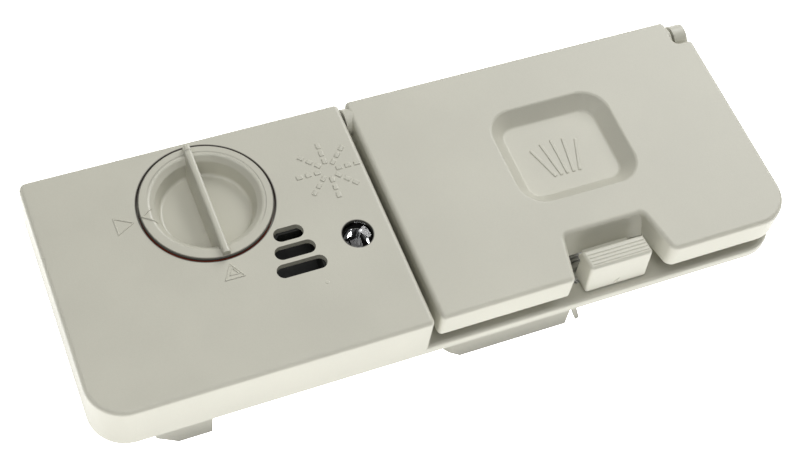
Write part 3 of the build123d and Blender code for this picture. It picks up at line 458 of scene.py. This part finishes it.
# %% Triangles and chevron
CAP_PROUD = 0.9 * MM
CAP_FLAT_R = 17.3 * MM
RIM_ROUND = 0.2 * MM


def outline_bars(corners, width, height, level, closed=True):
    """Bars along the sides of a polygon given by its corners in millimetres."""
    p = np.array(corners) * MM
    ends = np.roll(p, -1, axis=0)
    keep = len(p) if closed else len(p) - 1
    return bars(p[:keep], ends[:keep], width, height, level)


def drape(points):
    """Lower points by how far they lie inside the flat rim, which falls 1:1 there, softly at first."""
    inside = CAP_FLAT_R - np.hypot(points[..., 0] - CAP_AT[0], points[..., 1] - CAP_AT[1])
    points[..., 2] -= 0.5 * (inside + np.hypot(inside, RIM_ROUND))


panel_marks = {
    "left_triangle": (0.45 * MM, [(-91.0, 15.5), (-91.0, 21.5), (-85.6, 18.4)]),
    "near_triangle": (0.45 * MM, [(-65.6, -9.4), (-59.5, -9.4), (-62.6, -4.3)]),
    "near_inner": (0.4 * MM, [(-63.8, -8.1), (-60.9, -8.2), (-62.4, -5.8)]),
}
for mark_name, (width, corners) in panel_marks.items():
    points, faces = outline_bars(corners, width, width / 2, PANEL_TOP)
    surface(mark_name, points, faces, "body", "panel_plastic")

width, corners = 0.65 * MM, [(-79.4, 21.2), (-82.7, 19.1), (-78.7, 16.3)]
points, faces = outline_bars(corners, width, width / 2, PANEL_TOP + CAP_PROUD, closed=False)
drape(points)
surface("cap_chevron", points, faces, "cap", "cap_plastic")
print("marks:", sorted(panel_marks), "and the cap's chevron")

# %% [markdown]
# ## The fan in the well
# Five lines spread upwards on the floor of the lid's well: the sign for the prewash dose. Their feet
# stand on a straight line, their tips on a parabola with wider steps, so the lines open like a fan.

# %% Fan lines
FAN_LINES = 5
WELL_DEPTH = 4.3 * MM
LINE_WIDTH = 1.2 * MM
FOOT_AT, FOOT_STEP = np.array([52.3, -2.3]) * MM, 2.2 * MM
TIP_AT, TIP_STEP, TIP_FALL = np.array([52.2, 10.4]) * MM, 4.0 * MM, 0.47 * MM

spread = np.arange(FAN_LINES) - FAN_LINES // 2
foot = FOOT_AT + np.stack([FOOT_STEP * spread, 0 * spread], axis=1)
tip = TIP_AT + np.stack([TIP_STEP * spread, -TIP_FALL * spread ** 2], axis=1)
fan_points, fan_faces = bars(foot, tip, LINE_WIDTH, RAISED, PANEL_TOP - WELL_DEPTH, square=4)
surface("fan_mark", fan_points, fan_faces, "lid", "lid_plastic")
print("fan lines:", len(foot))

# %% [markdown]
# ## A gate mark and the latch's small arrow
# Melt enters the tool through a gate, which leaves a flat dot on the panel. The latch carries a tiny
# arrow low on its front face. That face is upright and leans back a little, so the bars are made flat
# first and then the whole array is stood up: its second coordinate becomes height, and its height pushes
# the point out of the face.

# %% Gate mark and arrow
GATE_AT = np.array([[-36.9, -19.2]]) * MM
GATE_HALF = np.array([0.01, 0]) * MM
GATE_WIDTH, GATE_HEIGHT = 1.3 * MM, 0.06 * MM
ARROW = [(54.9, 33.6), (53.4, 32.5), (54.9, 31.9)]
ARROW_WIDTH, ARROW_HEIGHT = 0.35 * MM, 0.18 * MM
LATCH_FRONT = box_of("latch")[0][1]
LATCH_LOW_Z = 31.3 * MM
LATCH_LEAN = 0.081


def stand_up(points):
    """Flat points to the latch's front: (x, y, h) becomes (x, front + lean x (y - low) - h, y)."""
    x, y, h = np.moveaxis(points, -1, 0)
    return np.stack([x, LATCH_FRONT + LATCH_LEAN * (y - LATCH_LOW_Z) - h, y], axis=-1)


dot_points, dot_faces = bars(GATE_AT - GATE_HALF, GATE_AT + GATE_HALF, GATE_WIDTH, GATE_HEIGHT, PANEL_TOP)
surface("gate_mark", dot_points, dot_faces, "body", "panel_plastic")
flat_points, arrow_faces = outline_bars(ARROW, ARROW_WIDTH, ARROW_HEIGHT, 0.0, closed=False)
surface("latch_arrow", stand_up(flat_points), arrow_faces, "latch", "latch_plastic")
print("gate mark at", GATE_AT.tolist(), "arrow on the face at", LATCH_FRONT)

# %% [markdown]
# ## Turns of wire on the coil
# The solid in the frame is a plain ring. Real enamelled wire lies in close turns, and each turn is a
# small arch, so the winding is turned like a vase: the radius is a row of arches along the axis. One
# parameter runs along that profile, the other round the axis. A separate ring for each turn would look
# the same and cost far more.

# %% Coil winding
TURNS, POINTS_PER_TURN = 46, 8
COIL_STEPS = 73
COIL_CORE_R = 4.55 * MM
ARCH_HIGH = 0.24 * MM
COIL_AIR = 0.04 * MM
COIL_INSET = 0.05 * MM


def turned(profile, steps):
    """A profile of (radius, height) pairs spun round an axis: rows follow it, columns the angle."""
    angle = np.linspace(0, 2 * math.pi, steps)
    r, t = np.asarray(profile, float).T
    return np.stack([r[:, None] * np.cos(angle), r[:, None] * np.sin(angle),
                     np.repeat(t[:, None], steps, axis=1)], axis=-1)


def wound_profile(crest, start, end):
    """A winding's side as (radius, height) pairs: out from the core, along the arches and back in. An
    arch is the absolute sine of half a wave per turn, to the power 0.6; its top is at the crest."""
    t = np.linspace(0, 1, TURNS * POINTS_PER_TURN + 1)
    arch = np.abs(np.sin(math.pi * TURNS * t)) ** 0.6
    radius = np.concatenate([[COIL_CORE_R], crest - ARCH_HIGH * (1 - arch), [COIL_CORE_R]])
    height = np.concatenate([[start], start + (end - start) * t, [end]])
    return np.stack([radius, height], axis=1)


coil_low, coil_high = box_of("coil_winding")
coil_x, coil_z = SOLENOID_AT[0], (coil_low[2] + coil_high[2]) / 2
crest = coil_high[0] - coil_x - COIL_AIR
profile = wound_profile(crest, coil_low[1] + COIL_INSET, coil_high[1] - COIL_INSET)
spun = turned(profile, COIL_STEPS)
wire_points = np.stack([coil_x + spun[..., 0], spun[..., 2], coil_z - spun[..., 1]], axis=-1)
wire_faces = grid_faces(len(profile), COIL_STEPS)[:, ::-1]
winding = surface("wire_turns", wire_points, wire_faces, "body", "winding_copper")
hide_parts("coil_winding")
print("turns of wire:", TURNS)

# %% [markdown]
# ## A lipped door gasket
# The gasket is drawn as a flat band in the frame. An extruded rubber profile has two sealing lips, so
# here that profile is carried along the rounded rectangle of the flange. At each corner the path turns
# through an arc, and a point of the profile is the path point pushed outwards by its first coordinate and
# upwards by its second.

# %% Door gasket
CORNER_STEPS = 14
SECTION_STEPS = 41
GASKET_CORNERS = np.array([7.6, 7.6, 0.7, 0.7]) * MM
BAND_HALF = 1.6 * MM
SECTION_HALF = 1.62 * MM
LIP_SPACING = 1.9 * MM
WAIST_DROP = 0.45 * MM
CROWN_HIGH = 0.4 * MM
LIP_DEEP = 0.95 * MM


def ring_path(low, high, radii):
    """Points and outward normals of a rounded rectangle, corner by corner from the front left. A point is
    the corner's centre plus normal x radius, and the normal makes a quarter turn at each corner."""
    radii = np.asarray(radii, float)[:, None]
    quarter = np.linspace(0, math.pi / 2, CORNER_STEPS)[None]
    angle = quarter + np.array([2, 3, 0, 1])[:, None] * math.pi / 2
    cx = np.array([low[0], high[0], high[0], low[0]])[:, None] + radii * np.array([1, -1, -1, 1])[:, None]
    cy = np.array([low[1], low[1], high[1], high[1]])[:, None] + radii * np.array([1, 1, -1, -1])[:, None]
    normal = np.stack([np.cos(angle), np.sin(angle)], axis=-1)
    points = np.stack([cx, cy], axis=-1) + normal * radii[..., None]
    points, normal = points.reshape(-1, 2), normal.reshape(-1, 2)
    return np.vstack([points, points[:1]]), np.vstack([normal, normal[:1]])


def lipped_section(waist):
    """An oval as distances across and heights. Across is half the width x cos v. Above the waist the
    height rises by the root of sin v; below it falls by the same times a wave that leaves two lips."""
    v = np.linspace(0, 2 * math.pi, SECTION_STEPS)
    across = SECTION_HALF * np.cos(v)
    bulge = np.abs(np.sin(v)) ** 0.5
    lips = 0.62 + 0.38 * np.cos(2 * math.pi * across / LIP_SPACING + math.pi)
    return across, waist + np.where(np.sin(v) > 0, CROWN_HIGH * bulge, -LIP_DEEP * bulge * lips)


band_low, band_high = box_of("door_gasket")
path, outward = ring_path(band_low[:2] + BAND_HALF, band_high[:2] - BAND_HALF, GASKET_CORNERS)
across, tall = lipped_section(band_high[2] - WAIST_DROP)
lip_plan = path[:, None] + outward[:, None] * across[None, :, None]
lip_heights = np.broadcast_to(tall[None, :, None], (len(path), len(tall), 1))
lip_points = np.concatenate([lip_plan, lip_heights], axis=2)
gasket = surface("lipped_gasket", lip_points, grid_faces(len(path), len(tall)), "body", "gasket_rubber")
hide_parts("door_gasket")
print("gasket path points:", len(path))

# %% [markdown]
# ## Screws with a cross recess
# Two small screws hold the solenoid. Each is one spun surface: the profile runs from the middle of the
# head over its dome, in under the head and up the thread to the tip. The cross could be cut with a
# boolean, but a soft dent in the same grid keeps the faces even: every point that lies within one of the
# cross's two bars is pushed in.

# %% Solenoid screws
SCREW_STEPS, HEAD_ROWS, SHANK_ROWS = 49, 30, 61
SCREW_SPREAD = 12.5 * MM
HEAD_R, HEAD_HIGH, DOME_FALL, HEAD_EDGE = 2.6 * MM, 1.8 * MM, 0.75 * MM, 0.05 * MM
SHANK_R, SHANK_LENGTH, TIP_R = 1.24 * MM, 6.0 * MM, 0.02 * MM
THREAD_R, THREAD_HIGH, THREAD_TURNS, TIP_FROM = 1.1 * MM, 0.14 * MM, 8, 0.9
CROSS_HALF, CROSS_REACH, CROSS_DEEP = 0.34 * MM, 1.45 * MM, 0.8 * MM
CROSS_SIDE, CROSS_END = 22 / MM, 14 / MM


def screw(at, seat):
    """A screw with its head down, spun from one profile. The dome flattens by the fourth power of the
    radius; the thread is a cosine on the shank's radius, then a cone to the tip. The recess lifts points
    of the head by its depth times two soft steps, 1 / (1 + exp), at the side and the end of a bar."""
    r_head = np.linspace(0, HEAD_R, HEAD_ROWS)
    dome = seat - HEAD_HIGH + DOME_FALL * (r_head / HEAD_R) ** 4
    rows = np.linspace(0, 1, SHANK_ROWS)
    wave = THREAD_R + THREAD_HIGH * np.cos(rows * 2 * math.pi * THREAD_TURNS)
    shank = np.where(rows < TIP_FROM, wave, SHANK_R * (1 - rows) / (1 - TIP_FROM))
    profile = np.concatenate([np.stack([r_head, dome], axis=1),
                              [[HEAD_R, seat - HEAD_EDGE], [SHANK_R, seat]],
                              np.stack([np.maximum(shank, TIP_R), seat + SHANK_LENGTH * rows], axis=1)])
    p = turned(profile, SCREW_STEPS)
    in_head = (np.arange(len(profile)) < HEAD_ROWS)[:, None]
    sides = np.sort(np.abs(p[..., :2]), axis=-1)
    in_bar = 1 / (1 + np.exp((sides[..., 0] - CROSS_HALF) * CROSS_SIDE))
    in_reach = 1 / (1 + np.exp((sides[..., 1] - CROSS_REACH) * CROSS_END))
    p[..., 2] += in_head * CROSS_DEEP * in_bar * in_reach
    return p + (at[0], at[1], 0)


seat = box_of("solenoid_screws")[0][2] + HEAD_HIGH
screw_points = np.stack([screw(SOLENOID_AT + (side * SCREW_SPREAD, 0), seat) for side in (-1, 1)])
screw_faces = grid_faces(*screw_points.shape[1:3], len(screw_points))
screws = surface("cross_screws", screw_points, screw_faces, "body", "rod_steel")
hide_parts("solenoid_screws")
print("screws:", len(screw_points))

# %% [markdown]
# ## Floor
# The part lies on a white light table, as in a product photo. The table's glow comes from below, so
# upright faces are brighter than the top, and the far walls of the hollows, which can't see the table,
# stay in shade. Close to the part the glow is dimmed: a painted contact shadow in the light that the
# table gives. To the camera the paper stays white.

# %% Paper
FLOOR_REACH = 3.0
FLOOR_SINK = 0.02 * MM
PAPER_DARK = (0.86, 0.86, 0.855)
PAPER_LIGHT = (0.90, 0.90, 0.895)
PAPER_ROUGH, PAPER_SCALE = 0.8, 40

corner_signs = ((-1, -1), (1, -1), (1, 1), (-1, 1))
floor_corners = [(x * FLOOR_REACH, y * FLOOR_REACH, -FLOOR_SINK) for x, y in corner_signs]
floor_mesh = bpy.data.meshes.new("floor")
floor_mesh.from_pydata(floor_corners, [], [(0, 1, 2, 3)])
floor = bpy.data.objects.new("floor", floor_mesh)
bpy.context.scene.collection.objects.link(floor)
floor_finish, floor_shader, floor_place = finish("floor_paper")
connect(floor_shader, floor_place.noise(PAPER_SCALE).tint(PAPER_DARK, PAPER_LIGHT), PAPER_ROUGH)
floor_mesh.materials.append(floor_finish)
print("floor laid, half a side", FLOOR_REACH)

# %% Glow that fades close to the part
GLOW = 2.6
LEAST_GLOW = 0.22
FADE_WIDTH = 35 * MM


def beyond(coordinate, half):
    """How far a coordinate lies outside a stretch of the given half length: its size less half, or 0."""
    return coordinate.calc("MAXIMUM", coordinate.absolute() - half)


half_length, half_width = box_of("lid")[1][:2]
gap_x = beyond(floor_place.part(0), half_length)
gap_y = beyond(floor_place.part(1), half_width)
# Painted contact shadow: near the part the floor's glow drops to about a fifth, so it lights the part's
# lowest faces less.
contact_shadow_fade = ((gap_x * gap_x + gap_y * gap_y) ** 0.5).step(0.0, FADE_WIDTH) * (1 - LEAST_GLOW) + LEAST_GLOW
seen = floor_place.of("ShaderNodeLightPath", out=0)
glow = floor_place.of("ShaderNodeEmission", Color=(1, 1, 1, 1), Strength=GLOW)
paper = Flow(floor_place.tree, floor_shader.outputs[0])
blend = floor_place.of("ShaderNodeMixShader", i0=floor_place.calc("MAXIMUM", seen, contact_shadow_fade), i1=paper, i2=glow)
blend.tree.links.new(blend.socket, blend.tree.nodes["Material Output"].inputs["Surface"])
print("glow of the floor:", GLOW)

# %% [markdown]
# ## Lights and sky
# In the photo the lid and the panel are lit most from behind on the right, and no shadow has a hard edge.
# So one large soft lamp stands there, and three weak ones in front, above and on the left keep the shaded
# sides from going black. A picture of a studio could light the scene too, but lamps are easier to move
# one by one.

# %% Lamps and sky
AIM_HEIGHT = 30 * MM
SKY_STRENGTH = 0.08


def soft_light(name, azimuth, height, power, size=0.6, away=1.1):
    """A square lamp that looks at the part from an azimuth (0 is the front, 90 the right) and a height,
    both in degrees: its own z axis is that direction, and it stands on it, the given distance away."""
    a, h = math.radians(azimuth), math.radians(height)
    z = np.array([math.cos(h) * math.sin(a), -math.cos(h) * math.cos(a), math.sin(h)])
    x = np.cross((0, 0, 1), z) / math.cos(h)
    y = np.cross(z, x)
    place = z * away + (0, 0, AIM_HEIGHT)
    lamp = bpy.data.lights.new(name, "AREA")
    lamp.size = size
    lamp.energy = power
    made = bpy.data.objects.new(name, lamp)
    bpy.context.scene.collection.objects.link(made)
    made.matrix_world = Matrix([[x[i], y[i], z[i], place[i]] for i in range(3)] + [[0, 0, 0, 1]])


soft_light("back_right_light", azimuth=128, height=38, power=27.0, size=1.1, away=2.0)
soft_light("front_high_light", azimuth=0, height=55, power=2.0)
soft_light("overhead_light", azimuth=0, height=89, power=2.6)
soft_light("left_high_light", azimuth=270, height=55, power=2.6)
sky = bpy.data.worlds.new("sky")
sky.use_nodes = True
background = sky.node_tree.nodes["Background"]
background.inputs["Color"].default_value = (1, 1, 1, 1)
background.inputs["Strength"].default_value = SKY_STRENGTH
bpy.context.scene.world = sky

# %% [markdown]
# ## Camera
# The photo was taken from the front left, high above the part. Where the camera stood and how it was
# turned was found from the straight edges of the front, which run to vanishing points in the picture. The
# result is the camera's place and three directions: to its right, down its picture, and ahead. Blender's
# cameras look along their own -Z with +Y up, so down and ahead change sign in the matrix.

# %% Camera at the photo's angle
EYE = np.array([-0.14603, -0.23407, 0.45443])
RIGHT = np.array([0.9243, -0.3664, 0.1074])
DOWN = np.array([-0.2583, -0.8072, -0.5308])
AHEAD = np.array([0.2811, 0.4628, -0.8407])
FOCAL_LENGTH, SENSOR_WIDTH = 71.08, 36.0
NEAREST = 10 * MM

lens = bpy.data.cameras.new("camera")
lens.lens = FOCAL_LENGTH
lens.sensor_width = SENSOR_WIDTH
lens.clip_start = NEAREST
camera = bpy.data.objects.new("camera", lens)
bpy.context.scene.collection.objects.link(camera)
axes = np.stack([RIGHT, -DOWN, -AHEAD, EYE], axis=1)
camera.matrix_world = Matrix(axes.tolist() + [[0, 0, 0, 1]])
bpy.context.scene.camera = camera
bpy.context.scene.view_settings.view_transform = "Standard"
print("camera at", EYE.tolist())
